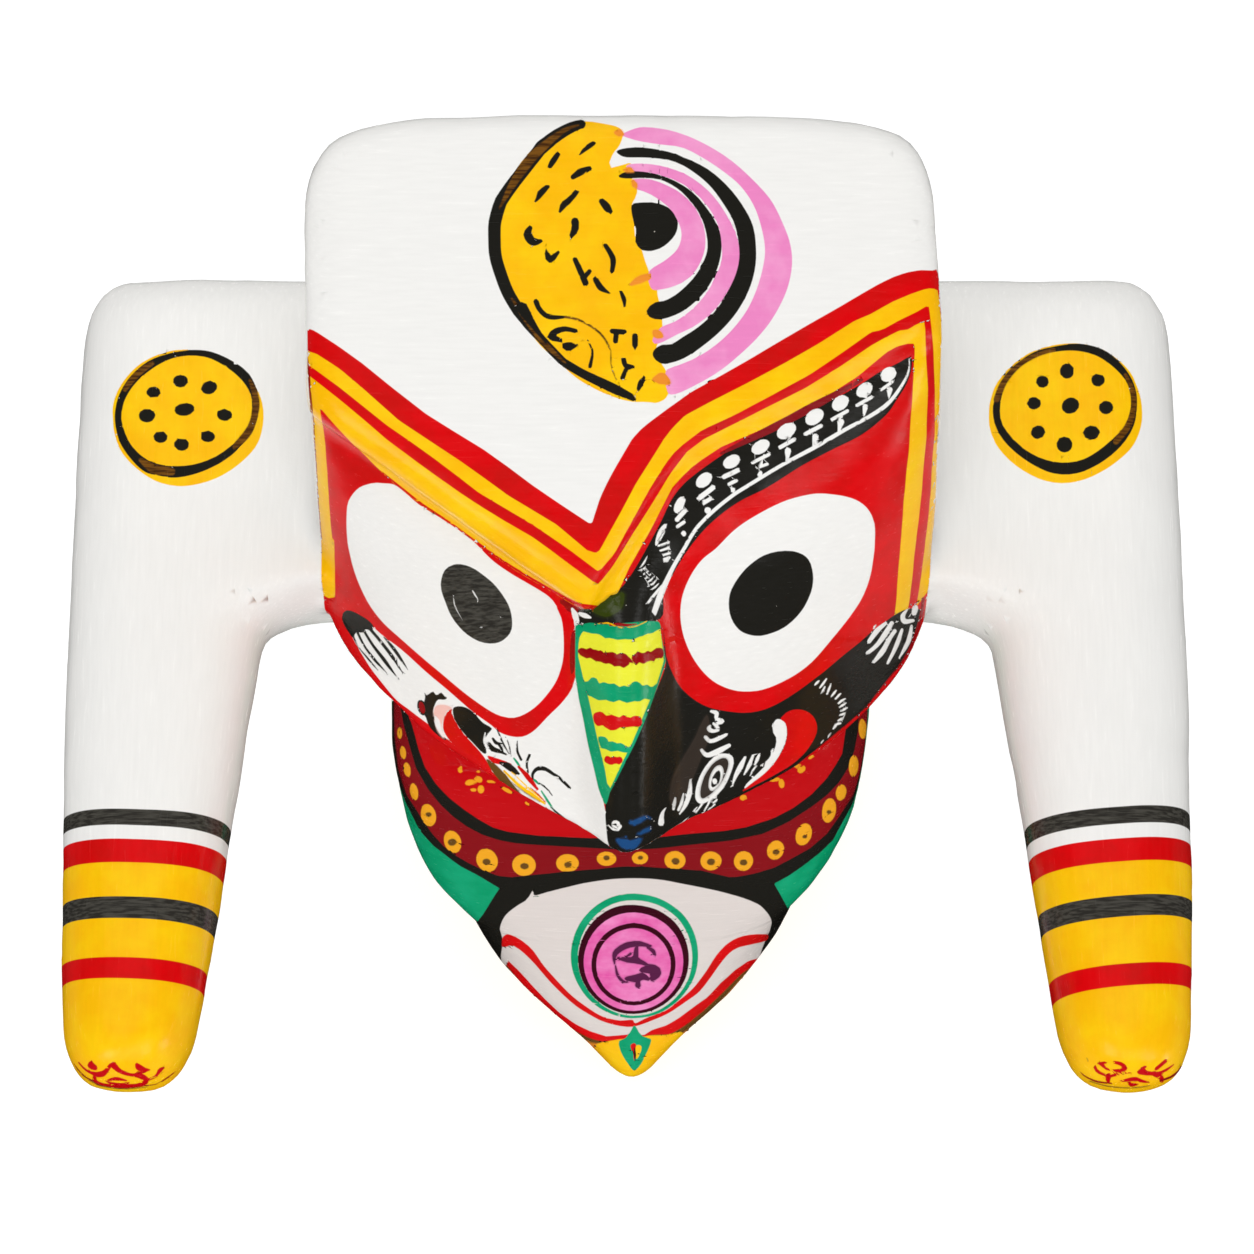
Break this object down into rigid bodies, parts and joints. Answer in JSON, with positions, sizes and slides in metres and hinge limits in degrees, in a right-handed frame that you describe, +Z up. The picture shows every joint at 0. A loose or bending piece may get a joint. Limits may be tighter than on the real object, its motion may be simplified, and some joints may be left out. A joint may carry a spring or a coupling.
{
  "type": "jagannath figure",
  "caption": "Painted carved wooden deity figure with a broad sloping head, V-shaped brow, forward-bent arm stubs and a waisted body on a flat pointed base.",
  "frame": {"origin": "on the underside, at the middle of the box around the figure", "axes": "+Z up, +X towards the figure's right-hand side in the picture, the face looks along -Y"},
  "size_m": [0.199, 0.1525, 0.1789],
  "materials": {
    "painted_wood": "soft wood under glossy hand-brushed enamel, white ground with red, yellow, black, pink and green patterns"
  },
  "bodies": {
    "root": {"figure": "painted_wood"}
  },
  "joints": []
}
